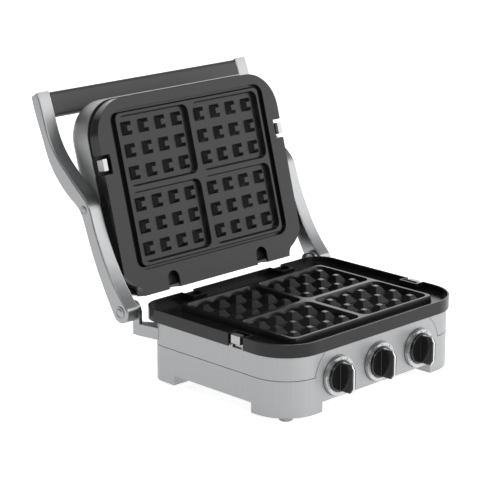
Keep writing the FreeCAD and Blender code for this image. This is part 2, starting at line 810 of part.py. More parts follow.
# ---- drip tray -----------------------------------------------------------------
def make_drip_tray():
    face_y = body_rear + body_gap
    pan = box(-tray_half, tray_half, face_y - tray_length, face_y + tray_wall,
              tray_floor_z, tray_floor_z + tray_height)
    room = box(-tray_half + tray_wall, tray_half - tray_wall, face_y - tray_length + tray_wall,
               face_y - tray_wall, tray_floor_z + tray_wall, tray_floor_z + tray_height + past)
    lap = tray_face_lap
    face = box(-tray_half - lap, tray_half + lap, face_y, face_y + tray_face,
               house_floor, tray_floor_z + tray_height + lap)
    pull = box(-tray_pull_half, tray_pull_half, face_y + tray_wall, face_y + tray_face + tray_pull_reach,
               tray_floor_z + tray_height, tray_floor_z + tray_height + tray_pull_thickness)
    return pan.fuse([face, pull]).cut(room).removeSplitter()


# ---- hinge brackets, pins and the release button -------------------------------
def make_bracket(side):
    leg = along_x(bracket_radius, bracket_inner, bracket_outer, hinge_y, hinge_z)
    post = box(bracket_inner, bracket_outer, hinge_y - bracket_leg, hinge_y,
               bracket_foot_z, hinge_z)
    corners = [(bracket_outer, hinge_y), (bracket_outer, hinge_y - bracket_leg),
               (body_half - bracket_toe_side, body_rear - body_rear_radius),
               (body_half - body_rear_radius, body_rear - bracket_toe_rear),
               (bracket_inner, hinge_y)]
    points = [V(x, y, bracket_foot_z) for x, y in corners]
    foot = Part.Face(Part.makePolygon(points + points[:1])).extrude(V(0, 0, bracket_foot_height))
    bracket = leg.fuse([post, foot])
    if side > 0:
        boss = along_x(boss_radius, bracket_inner - boss_length, bracket_inner, hinge_y, hinge_z)
        bracket = bracket.fuse(boss)
    bracket = bracket.cut(slab(*body_sizes, 0, housing_top + past))
    bracket = bracket.cut(along_x(hinge_pin_radius, bracket_inner, bracket_outer + past, hinge_y, hinge_z))
    return on_side(bracket.removeSplitter(), side)


def make_hinge_pin(side):
    pin = along_x(hinge_pin_radius, bracket_inner, arm_inner + pin_depth, hinge_y, hinge_z)
    return on_side(pin, side)


def make_release_button():
    """A domed cup that slides on the right bracket's boss."""
    rim = bracket_inner - release_travel - body_gap
    cup = along_x(release_radius, rim - release_length + release_radius / 2, rim, hinge_y, hinge_z)
    ball_radius = (release_radius ** 2 + (release_radius / 2) ** 2) / release_radius
    centre = V(rim - release_length + ball_radius, hinge_y, hinge_z)
    ball = Part.makeSphere(ball_radius, centre)
    end = along_x(release_radius, rim - release_length, rim - release_length + release_radius / 2,
                  hinge_y, hinge_z)
    dome = cup.fuse(end.common(ball))
    bore_start = bracket_inner - boss_length - release_travel - body_gap
    bore = along_x(boss_radius + running_gap, bore_start, rim + past, hinge_y, hinge_z)
    return dome.cut(bore).removeSplitter()


# ---- arms and grip, drawn with the lid closed ----------------------------------
# Each station is the share of the way from hinge to elbow (0 to 1) and on to the
# tip (1 to 2), the middle of the arm off the hinge-to-elbow line, and half its depth.
arm_stations = [
    (0.30, -4.4, 9.8),
    (0.62, -3.8, 8.7),
    (0.90, 0.4, 8.5),
    (1.00, 1.4, 9.2),
    (1.13, -6.0, 10.6),
    (1.30, -15.8, 10.8),
    (1.48, -22.3, 8.4),
    (1.65, -22.2, 6.2),
    (1.84, -18.6, 7.0),
    (2.00, -15.0, 6.4),
]


def arm_point(share, offset):
    """A point of the arm's side view, from its share along and its offset."""
    along = arm_length * min(share, 1) + arm_reach * max(share - 1, 0)
    y = hinge_y + along * math.cos(arm_angle) - offset * math.sin(arm_angle)
    z = hinge_z + along * math.sin(arm_angle) + offset * math.cos(arm_angle)
    return y, z


def smooth_edge(points):
    curve = Part.BSplineCurve()
    curve.interpolate([V(arm_inner, y, z) for y, z in points])
    return curve.toShape()


def arm_body():
    r = arm_end_radius
    fronts = [arm_point(0, r)] + [arm_point(s, c + h) for s, c, h in arm_stations]
    backs = [arm_point(0, -r)] + [arm_point(s, c - h) for s, c, h in arm_stations]
    round_end = arm_point(-r / arm_length, 0)
    edges = [
        smooth_edge(fronts),
        Part.LineSegment(V(arm_inner, *fronts[-1]), V(arm_inner, *backs[-1])).toShape(),
        smooth_edge(backs),
        Part.Arc(V(arm_inner, *backs[0]), V(arm_inner, *round_end), V(arm_inner, *fronts[0])).toShape(),
    ]
    wire = Part.Wire(Part.__sortEdges__(edges))
    arm = Part.Face(wire).extrude(V(arm_width, 0, 0))
    rims = [edge for edge in arm.Edges if edge.BoundBox.XLength < near]
    return arm.makeFillet(arm_edge, rims)


def grip_centre():
    """Middle of the grip: side-view place and its tilt in degrees."""
    (s0, c0, _), (s1, c1, _) = arm_stations[-2:]
    y0, z0 = arm_point(s0, c0)
    y1, z1 = arm_point(s1, c1)
    length = math.hypot(y1 - y0, z1 - z0)
    back = grip_tall / 2 + grip_inset
    y = y1 - (y1 - y0) / length * back
    z = z1 - (z1 - z0) / length * back
    return y, z, math.degrees(math.atan2(z1 - z0, y1 - y0))


def make_arm(side):
    arm = arm_body()
    grip_y, grip_z, _ = grip_centre()
    outside = arm_inner - past
    bore_depth = arm_inner + pin_depth + body_gap
    cutters = [
        along_x(hinge_pin_radius + running_gap, outside, bore_depth, hinge_y, hinge_z),
        along_x(elbow_pin_radius + running_gap, outside, bore_depth, elbow_y, elbow_z),
        along_x(arm_cap_radius, arm_outer - cap_recess, arm_outer + past, hinge_y, hinge_z),
        along_x(elbow_cap_radius, arm_outer - cap_recess, arm_outer + past, elbow_y, elbow_z),
        along_x(grip_rod_radius, outside, arm_inner + grip_rod_depth, grip_y, grip_z),
    ]
    return on_side(arm.cut(cutters), side)


def make_caps(radius, y, z):
    caps = []
    for side in sides.values():
        cap = along_x(radius, arm_outer - cap_recess, arm_outer + cap_height, y, z)
        face_edge = [edge for edge in cap.Edges if edge.BoundBox.XMin > arm_outer + cap_height - near]
        caps.append(on_side(cap.makeFillet(cap_edge, face_edge), side))
    return caps


def make_grip():
    y, z, tilt = grip_centre()
    bar = box(-arm_inner, arm_inner, -grip_tall / 2, grip_tall / 2, -grip_thick / 2, grip_thick / 2)
    long_edges = [edge for edge in bar.Edges if edge.BoundBox.XLength > arm_inner]
    bar = bar.makeFillet(grip_corner, long_edges)
    bar = bar.cut(along_x(grip_rod_radius, -arm_inner - past, arm_inner + past, 0, 0))
    bar.rotate(V(0, 0, 0), V(1, 0, 0), tilt)
    bar.translate(V(0, y, z))
    return bar


def make_grip_rod():
    y, z, _ = grip_centre()
    reach = arm_inner + grip_rod_depth
    return along_x(grip_rod_radius, -reach, reach, y, z)


# ---- lid shell and frame, drawn with the lid closed ----------------------------
cover_sizes = (cover_half, cover_front, plate_rear, body_front_radius, cover_rear_radius)


def make_cover_shell():
    shell = slab(*cover_sizes, cover_bottom, cover_top)
    rim = [edge for edge in shell.Edges if edge.BoundBox.ZMin > cover_top - near]
    shell = shell.makeFillet(cover_edge_radius, rim)
    inner_sizes = [value - cover_wall for value in cover_sizes]
    room = slab(*inner_sizes, cover_bottom - past, cover_top - cover_wall)
    rim = [edge for edge in room.Edges if edge.BoundBox.ZMin > cover_top - cover_wall - near]
    room = room.makeFillet(cover_edge_radius - cover_wall, rim)
    shell = shell.cut(room)
    holes = []
    for side in sides.values():
        hole = along_x(elbow_pin_radius, cover_half - 2 * wall, cover_half + past, elbow_y, elbow_z)
        holes.append(on_side(hole, side))
    return shell.cut(holes).removeSplitter()


def make_lid_frame():
    """Drawn like the base: a walled deck that sits inside the upper plate's skirt."""
    gap = skirt_wall + body_gap
    outer = (upper_half - gap, upper_front - gap, plate_rear - gap, body_front_radius - gap, 0)
    inner = [value - wall for value in outer]
    frame = ring_slab(outer, wall, housing_top - frame_depth, housing_top).fuse(deck(inner))
    seat_sizes = [value - cover_wall for value in cover_sizes]
    seat_top = plate_top_z - upper_skirt - seam_gap - wall
    seat = ring_slab(seat_sizes, cover_half - cover_wall - inner[0], seat_top - wall, seat_top)
    frame = add_guides(frame.fuse(seat), upper_half)
    pin_z = 2 * plate_top_z + body_gap - elbow_z
    for side in sides.values():
        start = inner[0] - pivot_boss
        pin = along_x(elbow_pin_radius, start - past, cover_half, elbow_y, pin_z)
        boss = box(start, inner[0] + wall / 2, elbow_y - pivot_boss_y, elbow_y + pivot_boss_y,
                   pin_z - pivot_boss_z, pin_z + pivot_boss_z)
        frame = frame.fuse(on_side(boss, side)).cut(on_side(pin, side))
    return turned(frame.removeSplitter())


def make_elbow_pins():
    pins = []
    gap = skirt_wall + body_gap
    start = upper_half - gap - wall - pivot_boss
    for side in sides.values():
        pin = along_x(elbow_pin_radius, start, arm_inner + pin_depth, elbow_y, elbow_z)
        collar = along_x(elbow_pin_radius + pin_collar, cover_half, arm_inner - body_gap, elbow_y, elbow_z)
        pins.append(on_side(pin.fuse(collar).removeSplitter(), side))
    return pins


# ---- write every piece ---------------------------------------------------------
save("lower_housing", make_lower_housing())
save("upper_housing", make_upper_housing())
save("rubber_feet", make_rubber_feet())
save("bottom_cover", make_bottom_cover())
save("bottom_screws", make_bottom_screws())
save("cord_gland", make_cord_gland())
save("lower_heating_element", make_element())
save("lower_reflector", make_reflector())
save("lower_plate_hooks", make_hooks(plate_rear))
save("lower_plate", make_lower_plate())
save("drip_tray", make_drip_tray())

for name, place in knob_places.items():
    save("bezel_" + name, make_bezel(place))
    turning = (("knob", make_knob()), ("inlay", inlay_strip(inlay_proud)), ("spindle", make_spindle()))
    for piece, shape in turning:
        shape.translate(V(place, 0, knob_z))
        save(piece + "_" + name, shape)
save("thermostat_left", make_switch(knob_places["left"]))
save("selector_switch", make_switch(knob_places["centre"]))
save("thermostat_right", make_switch(knob_places["right"]))

for name, side in sides.items():
    save("hinge_bracket_" + name, make_bracket(side))
    save("hinge_pin_" + name, make_hinge_pin(side))
    save("arm_" + name, opened(make_arm(side)))
    save("lower_button_" + name, on_side(make_button(plate_half), side))
    save("lower_spring_" + name, on_side(make_spring(plate_half), side))
    save("upper_button_" + name, opened(turned(on_side(make_button(upper_half), side))))
    save("upper_spring_" + name, opened(turned(on_side(make_spring(upper_half), side))))
save("hinge_release_button", make_release_button())

save("hinge_caps", [opened(cap) for cap in make_caps(arm_cap_radius, hinge_y, hinge_z)])
save("elbow_caps", [opened(cap) for cap in make_caps(elbow_cap_radius, elbow_y, elbow_z)])
save("handle_grip", opened(make_grip()))
save("grip_rod", opened(make_grip_rod()))

save("cover_shell", opened(make_cover_shell()))
save("lid_frame", opened(make_lid_frame()))
save("elbow_pins", [opened(pin) for pin in make_elbow_pins()])
save("upper_heating_element", opened(turned(make_element())))
save("upper_reflector", opened(turned(make_reflector())))
save("upper_thermostat", opened(turned(make_reflector_thermostat())))
save("upper_plate_hooks", [opened(turned(hook)) for hook in make_hooks(plate_rear)])
save("upper_plate", opened(make_upper_plate()))
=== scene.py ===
"""Looks of a twin-plate waffle maker, built round its CAD frame.

The file is laid out as an add-on. Each operator finishes one piece or one group of like pieces.
Lengths are in metres, +X is to the user's right, -Y is the front with the knobs and +Z is up.
"""

import json
import math

import bmesh
import bpy
from mathutils import Matrix, Vector

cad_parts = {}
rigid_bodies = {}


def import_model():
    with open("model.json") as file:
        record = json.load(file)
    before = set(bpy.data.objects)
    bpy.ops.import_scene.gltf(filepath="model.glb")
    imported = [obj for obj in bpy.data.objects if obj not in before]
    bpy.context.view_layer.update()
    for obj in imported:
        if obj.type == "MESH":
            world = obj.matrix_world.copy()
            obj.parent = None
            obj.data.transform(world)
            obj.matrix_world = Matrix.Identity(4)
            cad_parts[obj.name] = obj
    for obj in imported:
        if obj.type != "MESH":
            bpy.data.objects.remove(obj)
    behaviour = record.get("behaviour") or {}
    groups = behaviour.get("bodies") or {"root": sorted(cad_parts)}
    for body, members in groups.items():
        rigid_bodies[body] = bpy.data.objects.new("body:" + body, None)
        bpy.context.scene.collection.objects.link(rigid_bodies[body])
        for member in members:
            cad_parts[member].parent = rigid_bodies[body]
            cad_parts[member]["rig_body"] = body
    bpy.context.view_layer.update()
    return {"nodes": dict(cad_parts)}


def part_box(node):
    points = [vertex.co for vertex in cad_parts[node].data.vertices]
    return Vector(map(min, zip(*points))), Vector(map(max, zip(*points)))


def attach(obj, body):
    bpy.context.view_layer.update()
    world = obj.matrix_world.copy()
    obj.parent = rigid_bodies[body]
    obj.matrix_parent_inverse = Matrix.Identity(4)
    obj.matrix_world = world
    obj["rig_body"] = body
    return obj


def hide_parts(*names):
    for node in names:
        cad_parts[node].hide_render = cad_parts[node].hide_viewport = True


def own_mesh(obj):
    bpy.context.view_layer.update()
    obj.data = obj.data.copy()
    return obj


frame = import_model()
MM = 0.001

bl_info = {
    "name": "Waffle maker finish",
    "version": (1, 0, 0),
    "blender": (4, 5, 0),
    "location": "3D View > Sidebar > Waffle maker",
    "description": "Finishes the pieces of a twin-plate waffle maker",
    "category": "Object",
}


# ---- sizes and colours a user would change --------------------------------------
def length(name, description, default):
    return bpy.props.FloatProperty(name=name, description=description, default=default,
                                   min=0.0, unit="LENGTH", precision=5)


def colour(name, description, default):
    return bpy.props.FloatVectorProperty(name=name, description=description, default=default,
                                         size=3, min=0.0, max=1.0, subtype="COLOR")


class FinishColours(bpy.types.PropertyGroup):
    silver: colour("Silver paint", "Painted housing and lid cover", (0.37, 0.375, 0.38))
    aluminium: colour("Brushed aluminium", "Arms and brackets", (0.33, 0.335, 0.34))
    bezel: colour("Bezel aluminium", "Rings behind the knobs", (0.50, 0.505, 0.51))
    nonstick: colour("Non-stick coating", "Both waffle plates", (0.008, 0.008, 0.0085))
    steel: colour("Steel", "Pins, screws and buttons", (0.62, 0.62, 0.62))
    knob: colour("Knob plastic", "Gloss plastic of the knobs", (0.006, 0.006, 0.006))
    grip: colour("Grip plastic", "Soft matte plastic of the grip", (0.028, 0.028, 0.030))
    rubber: colour("Foot rubber", "Rubber of the four feet", (0.30, 0.30, 0.31))
    inner: colour("Inner plastic", "Switches, gland and tray", (0.04, 0.04, 0.04))
    print: colour("Dial print", "Marks and numbers on the bezels", (0.03, 0.03, 0.03))
    floor: colour("Floor", "Studio floor", (0.90, 0.90, 0.90))


class EdgeSizes(bpy.types.PropertyGroup):
    housing: length("Housing edge", "Rounding of the housing's edges", 0.6 * MM)
    cover: length("Cover edge", "Rounding of the lid cover's rim", 0.5 * MM)
    plate: length("Plate edge", "Rounding of the plates' edges", 0.65 * MM)
    arm: length("Arm edge", "Rounding of the arms' edges", 0.5 * MM)
    knob: length("Knob edge", "Rounding of the knobs' edges", 0.5 * MM)
    small: length("Small part edge", "Rounding of the small steel parts", 0.35 * MM)
    grip: length("Grip edge", "Rounding of the grip's ends", 0.8 * MM)


class TurnedSizes(bpy.types.PropertyGroup):
    cap_tall: length("Cap height", "Height of a cap on an arm, with the part in its recess", 2.2 * MM)
    cap_rim: length("Cap rim", "Width of a cap's rounded rim", 0.5 * MM)
    cup_bore: length("Cup bore", "Radius of the bore in the release button", 6.1 * MM)
    cup_depth: length("Cup depth", "Depth of that bore", 6.0 * MM)
    cup_groove: length("Cup groove", "Depth of the groove round the release button", 0.4 * MM)


class DialSizes(bpy.types.PropertyGroup):
    ticks: bpy.props.IntProperty(name="Ticks", description="Marks round one dial", default=30, min=1)
    tick_long: length("Tick length", "Length of a mark along the dial's radius", 0.8 * MM)
    tick_wide: length("Tick width", "Width of a mark", 0.7 * MM)
    print_deep: length("Print thickness", "Thickness of the printed marks", 0.2 * MM)
    digit: length("Digit height", "Height of the dial's numbers", 3.1 * MM)
    digit_weight: length("Digit weight", "How far a number's outline is fattened", 0.12 * MM)
    ring_width: length("Ring width", "Width of a bezel's ring", 4.2 * MM)
    lip: length("Lip width", "Width of the raised lip round a bezel", 0.7 * MM)
    lip_rise: length("Lip height", "Height of that lip above the ring's face", 0.3 * MM)
    # The dark ring round each bezel is painted shade: it stands for the shadow where the bezel meets the
    # panel.
    painted_shade_ring: length("Painted shade ring", "Width of the dark gasket round a bezel", 0.5 * MM)
    sweep: bpy.props.FloatProperty(name="Number sweep", default=240.0, min=10.0, max=330.0,
                                   description="Angle that a dial's numbers spread over, in degrees")


# ---- shader helpers --------------------------------------------------------------
class Level:
    """A number that varies over a surface. Sums and products of levels add Math nodes."""

    def __init__(self, finish, socket):
        self.finish = finish
        self.socket = socket

    def combine(self, operation, left, right):
        made = self.finish.node("ShaderNodeMath", {"operation": operation}, {0: left, 1: right})
        return Level(self.finish, made.outputs[0])

    def __add__(self, other):
        return self.combine("ADD", self, other)

    def __radd__(self, other):
        return self.combine("ADD", other, self)

    def __mul__(self, other):
        return self.combine("MULTIPLY", self, other)

    def __rmul__(self, other):
        return self.combine("MULTIPLY", other, self)


class Finish:
    """One material under construction, around a Principled shader."""

    def __init__(self, name, **constants):
        self.material = bpy.data.materials.new(name)
        self.material.use_nodes = True
        self.tree = self.material.node_tree
        self.tree.nodes.clear()
        self.shader = self.node("ShaderNodeBsdfPrincipled")
        for socket, value in constants.items():
            self.shader.inputs[socket.replace("_", " ")].default_value = value
        self.node("ShaderNodeOutputMaterial", {}, {"Surface": self.shader.outputs["BSDF"]})
        self.place = self.node("ShaderNodeTexCoord").outputs["Object"]

    def node(self, kind, settings=None, values=None):
        """Add a node: its settings first, then the values or links of its sockets."""
        made = self.tree.nodes.new(kind)
        for key, value in (settings or {}).items():
            setattr(made, key, value)
        for key, value in (values or {}).items():
            self.feed(made.inputs[key], value)
        return made

    def feed(self, socket, value):
        if isinstance(value, Level):
            value = value.socket
        if isinstance(value, bpy.types.NodeSocket):
            self.tree.links.new(value, socket)
        else:
            socket.default_value = value

    def mapped(self, scale, turn=(0, 0, 0)):
        return self.node("ShaderNodeMapping", {}, {"Vector": self.place, "Rotation": turn,
                                                   "Scale": scale}).outputs[0]

    def noise(self, scale, detail=2.0, place=None):
        made = self.node("ShaderNodeTexNoise", {}, {"Vector": place or self.place,
                                                    "Scale": scale, "Detail": detail})
        return Level(self, made.outputs["Fac"])

    def between(self, level, low, high):
        """A level of 0 to 1 stretched to run from low to high."""
        return level * (high - low) + low

    def tint(self, level, dark, light):
        """A colour between two colours, by a level."""
        mix = self.node("ShaderNodeMix", {"data_type": "RGBA"},
                        {0: level, 6: (*dark, 1), 7: (*light, 1)})
        return mix.outputs[2]

    def set(self, **sockets):
        for name, value in sockets.items():
            self.feed(self.shader.inputs[name.replace("_", " ")], value)
        return self

    def bump(self, level, strength, depth):
        made = self.node("ShaderNodeBump", {},
                         {"Height": level, "Strength": strength, "Distance": depth})
        self.feed(self.shader.inputs["Normal"], made.outputs[0])
        return self


def scaled(shade, factor):
    return tuple(min(1.0, channel * factor) for channel in shade)


# ---- the finishes ----------------------------------------------------------------
def silver_paint(shade):
    """Metallic paint with fine upright hairlines."""
    finish = Finish("silver paint", Metallic=0.90, Coat_Weight=0.10, Coat_Roughness=0.30)
    hair = finish.noise(scale=1.0, detail=3.0, place=finish.mapped(scale=(1300.0, 1300.0, 9.0)))
    flake = finish.noise(scale=2600.0, detail=1.0)
    cloud = finish.noise(scale=9.0, detail=3.0)
    finish.set(Base_Color=finish.tint(hair * 0.55 + cloud * 0.25 + flake * 0.20,
                                      scaled(shade, 0.80), scaled(shade, 1.20)),
               Roughness=finish.between(hair * 0.6 + cloud * 0.4, low=0.38, high=0.52))
    return finish.bump(hair * 0.8 + flake * 0.2, strength=0.14, depth=0.0001)


def brushed(name, shade, along, low=0.26, high=0.42):
    """Aluminium with hairlines along the angle given, turned about X from +Z."""
    finish = Finish(name, Metallic=1.0)
    lines = finish.mapped(scale=(900.0, 900.0, 14.0), turn=(along, 0, 0))
    hair = finish.noise(scale=1.0, detail=4.0, place=lines)
    cloud = finish.noise(scale=14.0, detail=2.0)
    finish.set(Base_Color=finish.tint(hair * 0.7 + cloud * 0.3,
                                      scaled(shade, 0.86), scaled(shade, 1.12)),
               Roughness=finish.between(hair, low, high))
    return finish.bump(hair, strength=0.16, depth=0.00008)


def nonstick_coating(shade):
    finish = Finish("non-stick coating", Specular_IOR_Level=0.27, Coat_Weight=0.12, Coat_Roughness=0.10)
    speck = finish.noise(scale=1500.0, detail=2.0)
    cloud = finish.noise(scale=22.0, detail=3.0)
    finish.set(Base_Color=finish.tint(cloud * 0.5 + speck * 0.5,
                                      scaled(shade, 0.75), scaled(shade, 1.35)),
               Roughness=finish.between(speck * 0.4 + cloud * 0.6, low=0.20, high=0.30))
    return finish.bump(speck, strength=0.12, depth=0.00008)


def steel(name, shade, low, high):
    finish = Finish(name, Metallic=1.0)
    lines = finish.mapped(scale=(260.0, 1500.0, 260.0), turn=(0.3, 0.2, 0.5))
    scratch = finish.noise(scale=1.0, detail=3.0, place=lines)
    cloud = finish.noise(scale=60.0, detail=2.0)
    finish.set(Base_Color=finish.tint(cloud, scaled(shade, 0.9), scaled(shade, 1.08)),
               Roughness=finish.between(scratch * 0.6 + cloud * 0.4, low, high))
    return finish.bump(scratch, strength=0.08, depth=0.00005)


def moulded_plastic(name, shade, low, high, grain, coat=0.0):
    finish = Finish(name, Coat_Weight=coat, Coat_Roughness=0.08)
    pebble = finish.noise(scale=grain, detail=2.0)
    cloud = finish.noise(scale=30.0, detail=2.0)
    finish.set(Base_Color=finish.tint(cloud, scaled(shade, 0.8), scaled(shade, 1.25)),
               Roughness=finish.between(pebble * 0.5 + cloud * 0.5, low, high))
    return finish.bump(pebble, strength=0.1, depth=0.0001)


def foot_rubber(shade):
    finish = Finish("foot rubber", Specular_IOR_Level=0.3)
    dust = finish.noise(scale=300.0, detail=4.0)
    finish.set(Base_Color=finish.tint(dust, scaled(shade, 0.85), scaled(shade, 1.15)),
               Roughness=finish.between(dust, low=0.7, high=0.9))
    return finish.bump(dust, strength=0.25, depth=0.0001)


ARM_LEAN = math.radians(-27.0)     # the arms' hairlines, about X from upright


def finishes():
    """Every finish by name, made once."""
    if bpy.data.materials.get("silver paint") is None:
        shades = bpy.context.scene.waffle_colours
        silver_paint(shades.silver)
        brushed("arm aluminium", shades.aluminium, ARM_LEAN)
        brushed("bezel aluminium", shades.bezel, along=0.0, low=0.22, high=0.36)
        nonstick_coating(shades.nonstick)
        steel("bright steel", scaled(shades.steel, 0.85), low=0.18, high=0.32)
        steel("button steel", scaled(shades.steel, 0.62), low=0.28, high=0.42)
        steel("dark steel", scaled(shades.steel, 0.12), low=0.35, high=0.55)
        steel("polished chrome", scaled(shades.steel, 1.3), low=0.04, high=0.12)
        steel("reflector sheet", scaled(shades.steel, 1.15), low=0.12, high=0.30)
        moulded_plastic("gloss knob plastic", shades.knob, low=0.14, high=0.22,
                        grain=500.0, coat=0.15)
        moulded_plastic("matte grip plastic", shades.grip, low=0.42, high=0.56, grain=1300.0)
        moulded_plastic("inner plastic", shades.inner, low=0.45, high=0.6, grain=900.0)
        moulded_plastic("dial print", shades.print, low=0.5, high=0.6, grain=900.0)
        foot_rubber(shades.rubber)
    return bpy.data.materials


# ---- mesh helpers ------------------------------------------------------------------
JOIN = 2e-6                 # points of a CAD mesh that lie closer than this are one
TOUCH = 1e-7                # and the same for points of a turned mesh
FLAT = math.radians(0.6)    # faces that meet at less than this are made one
RING_STEPS = 96             # steps round a large turned piece
SMALL_STEPS = 64            # and round a small one
DOME_STEPS = 12             # steps from the release button's edge to its middle


def body_of(node):
    return frame["nodes"][node]["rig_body"]


def shaded(mesh, angle=35.0):
    """Smooth shading with creases kept at edges sharper than the angle."""
    mesh.shade_smooth()
    mesh.set_sharp_from_angle(angle=math.radians(angle))


def piece(name, mesh, finish, body, nodes=()):
    """Link a finished mesh as a piece of the object, standing for the CAD nodes named."""
    made = bpy.data.objects.new(name, mesh)
    bpy.context.scene.collection.objects.link(made)
    mesh.materials.clear()
    mesh.materials.append(finishes()[finish])
    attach(made, body)
    if nodes:
        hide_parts(*nodes)
    return made


def merged(node):
    """A working copy of a CAD node with its loose triangles joined and flat faces made whole."""
    work = bmesh.new()
    work.from_mesh(frame["nodes"][node].data)
    bmesh.ops.remove_doubles(work, verts=work.verts, dist=JOIN)
    bmesh.ops.dissolve_limit(work, angle_limit=FLAT, verts=work.verts, edges=work.edges,
                             delimit={"NORMAL"})
    return work


def softened(node, finish, edge, segments=2, angle=28.0):
    """Replace a CAD node by a copy of it whose sharp edges are rounded."""
    work = merged(node)
    limit = math.radians(angle)
    sharp = [e for e in work.edges if len(e.link_faces) == 2 and e.calc_face_angle(0.0) > limit]
    bmesh.ops.bevel(work, geom=sharp, offset=edge, offset_type="OFFSET", segments=segments,
                    profile=0.5, affect="EDGES", clamp_overlap=True)
    mesh = bpy.data.meshes.new(node + "_finished")
    work.to_mesh(mesh)
    work.free()
    shaded(mesh)
    made = piece(node + "_finished", mesh, finish, body_of(node), (node,))
    smooth = made.modifiers.new("Even shading", "WEIGHTED_NORMAL")
    smooth.keep_sharp = True
    return made


def painted(node, finish):
    """Keep a CAD node as it is and give it a finish."""
    target = frame["nodes"][node]
    if not target.material_slots:
        target.data.materials.append(None)
    for slot in target.material_slots:
        slot.material = finishes()[finish]


def turned_mesh(name, profile, centre, axis, steps=RING_STEPS):
    """Turn a profile of (radius, height) points about an axis, from its foot to its top."""
    work = bmesh.new()
    previous = None
    side = axis.orthogonal().normalized()
    for radius, height in profile:
        if radius < TOUCH:
            ring = [work.verts.new(centre + axis * height)]
        else:
            ring = [work.verts.new(centre + axis * height
                                   + Matrix.Rotation(math.tau * i / steps, 3, axis) @ side * radius)
                    for i in range(steps)]
        if previous is not None:
            for i in range(steps):
                corners = [previous[i % len(previous)], previous[(i + 1) % len(previous)],
                           ring[(i + 1) % len(ring)], ring[i % len(ring)]]
                work.faces.new(list(dict.fromkeys(corners)))
        previous = ring
    bmesh.ops.remove_doubles(work, verts=work.verts, dist=TOUCH)
    bmesh.ops.recalc_face_normals(work, faces=work.faces)
    mesh = bpy.data.meshes.new(name)
    work.to_mesh(mesh)
    work.free()
    shaded(mesh)
    return mesh


def turned_caps(node, sizes):
    """Replace the pair of caps on the arms' outer faces by turned ones, dished and rimmed.

    The outline's numbers are shares of the cap's radius and of its height.
    """
    low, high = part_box(node)
    radius = (high.z - low.z) / 2
    tall = sizes.cap_tall
    profile = [(0, 0), (radius, 0), (radius, 0.68 * tall), (radius - sizes.cap_rim, 0.95 * tall),
               (0.80 * radius, 0.95 * tall), (0.74 * radius, 0.70 * tall), (0.66 * radius, 0.70 * tall),
               (0.58 * radius, 0.92 * tall), (0.30 * radius, tall), (0, tall)]
    caps = []
    for side in (-1, 1):
        foot = Vector((side * (high.x - tall), (low.y + high.y) / 2, (low.z + high.z) / 2))
        caps.append(turned_mesh("cap", profile, foot, Vector((side, 0, 0)), SMALL_STEPS))
    mesh = joined(node + "_turned", caps)
    shaded(mesh)
    piece(mesh.name, mesh, "arm aluminium", body_of(node), (node,))


def button_spring(level, side):
    """Replace a button's spring by a copy of it with a mesh of its own."""
    node = f"{level}_spring_{side}"
    work = merged(node)
    mesh = bpy.data.meshes.new(node + "_coil")
    work.to_mesh(mesh)
    work.free()
    shaded(mesh)
    coil = piece(mesh.name, mesh, "bright steel", body_of(node), (node,))
    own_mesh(coil)


def release_dome(sizes):
    """Replace the hinge release button by a turned cup with a domed end and a fine groove."""
    node = "hinge_release_button"
    low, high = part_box(node)
    radius = (high.z - low.z) / 2
    crown = radius / 2
    straight = high.x - low.x - crown
    neck = radius - sizes.cup_groove
    profile = [(0, sizes.cup_depth), (sizes.cup_bore, sizes.cup_depth), (sizes.cup_bore, 0),
               (radius, 0), (radius, 0.62 * straight), (neck, 0.66 * straight),
               (neck, 0.76 * straight), (radius, 0.80 * straight), (radius, straight)]
    ball = (radius ** 2 + crown ** 2) / (2 * crown)
    for i in range(1, DOME_STEPS + 1):
        away = radius * (1 - i / DOME_STEPS)
        profile.append((away, straight + math.sqrt(ball ** 2 - away ** 2) - ball + crown))
    foot = Vector((high.x, (low.y + high.y) / 2, (low.z + high.z) / 2))
    mesh = turned_mesh("hinge_release_dome", profile, foot, Vector((-1, 0, 0)), SMALL_STEPS)
    piece(mesh.name, mesh, "polished chrome", body_of(node), (node,))


def group_input(tree, name, kind, default=None):
    """Give a geometry tree an input, with the value that it starts with."""
    socket = tree.interface.new_socket(name, in_out="INPUT", socket_type=kind)
    if default is not None:
        socket.default_value = default


def grown(name, tree, values):
    """The plain mesh that a geometry tree makes, with its inputs set by their identifiers."""
    seed = bpy.data.objects.new(name + "_seed", bpy.data.meshes.new(name + "_seed"))
    bpy.context.scene.collection.objects.link(seed)
    maker = seed.modifiers.new("Geometry", "NODES")
    maker.node_group = tree
    for item in tree.interface.items_tree:
        if item.item_type == "SOCKET" and item.in_out == "INPUT" and item.name in values:
            maker[item.identifier] = values[item.name]
    bpy.context.view_layer.update()
    graph = bpy.context.evaluated_depsgraph_get()
    mesh = bpy.data.meshes.new_from_object(seed.evaluated_get(graph))
    mesh.name = name
    bpy.data.objects.remove(seed)
    return mesh


def tree_nodes(tree, kinds):
    """Add several nodes to a geometry tree, by name."""
    return {name: tree.nodes.new(kind) for name, kind in kinds.items()}


